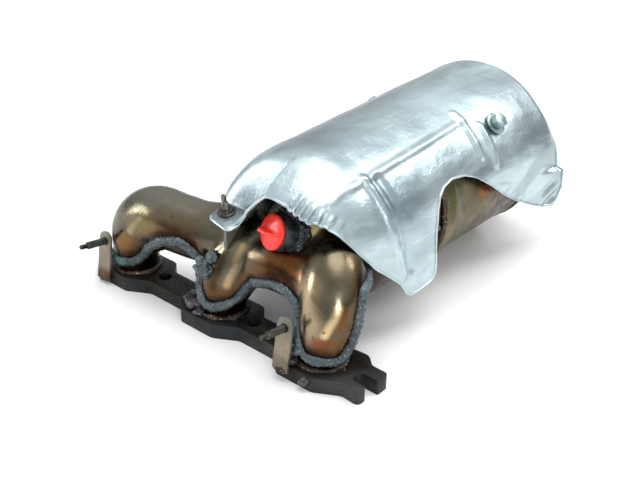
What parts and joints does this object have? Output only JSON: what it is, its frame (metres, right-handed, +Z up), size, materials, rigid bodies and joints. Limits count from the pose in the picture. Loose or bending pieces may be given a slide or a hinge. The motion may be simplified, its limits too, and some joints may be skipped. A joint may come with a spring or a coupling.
{
  "type": "exhaust manifold",
  "caption": "Pressed-shell exhaust manifold on a port flange, welded to a round catalytic converter under a domed heat shield, with a red plug in its sensor boss.",
  "frame": {"origin": "bottom centre of the whole part's box, on the plane of the head face", "axes": "+X along the head flange towards its slotted end, +Y along the converter from the ports to the outlet, +Z up from the head face"},
  "size_m": [0.2314, 0.2896, 0.1236],
  "materials": {
    "flange_steel": "rough, dark scale",
    "tinted_stainless": "satin, heat tinted",
    "converter_stainless": "satin, heat tinted",
    "bracket_steel": "dull",
    "stud_steel": "dark phosphate",
    "boss_steel": "rough, weld scale",
    "zinc_steel": "zinc plated",
    "aluminised_sheet": "satin aluminised steel sheet",
    "cordierite": "porous ceramic",
    "fibre_mat": "matte fibre",
    "red_plastic": "semi-gloss"
  },
  "bodies": {
    "manifold": {"head_flange": "flange_steel", "outlet_flange": "flange_steel", "upper_shell": "tinted_stainless", "lower_shell": "tinted_stainless", "left_collar": "tinted_stainless", "middle_collar": "tinted_stainless", "right_collar": "tinted_stainless", "converter_body": "converter_stainless", "outlet_cone": "converter_stainless", "left_bracket": "bracket_steel", "right_bracket": "bracket_steel", "shield_bracket": "bracket_steel", "right_shield_bolt_post": "bracket_steel", "left_shield_bolt_post": "bracket_steel", "left_stud": "stud_steel", "right_stud": "stud_steel", "shield_stud": "stud_steel", "shield_nut": "stud_steel", "sensor_boss": "boss_steel", "right_shield_bolt": "zinc_steel", "right_shield_bolt_washer": "zinc_steel", "left_shield_bolt": "zinc_steel", "left_shield_bolt_washer": "zinc_steel", "heat_shield": "aluminised_sheet", "catalyst_brick": "cordierite", "support_mat": "fibre_mat"},
    "plug": {"sensor_plug": "red_plastic"}
  },
  "joints": [
    {"name": "plug_pull", "type": "slide", "parent": "manifold", "child": "plug", "axis": [-0.2182, -0.9158, 0.3371], "range_m": [0, 0.025]}
  ]
}
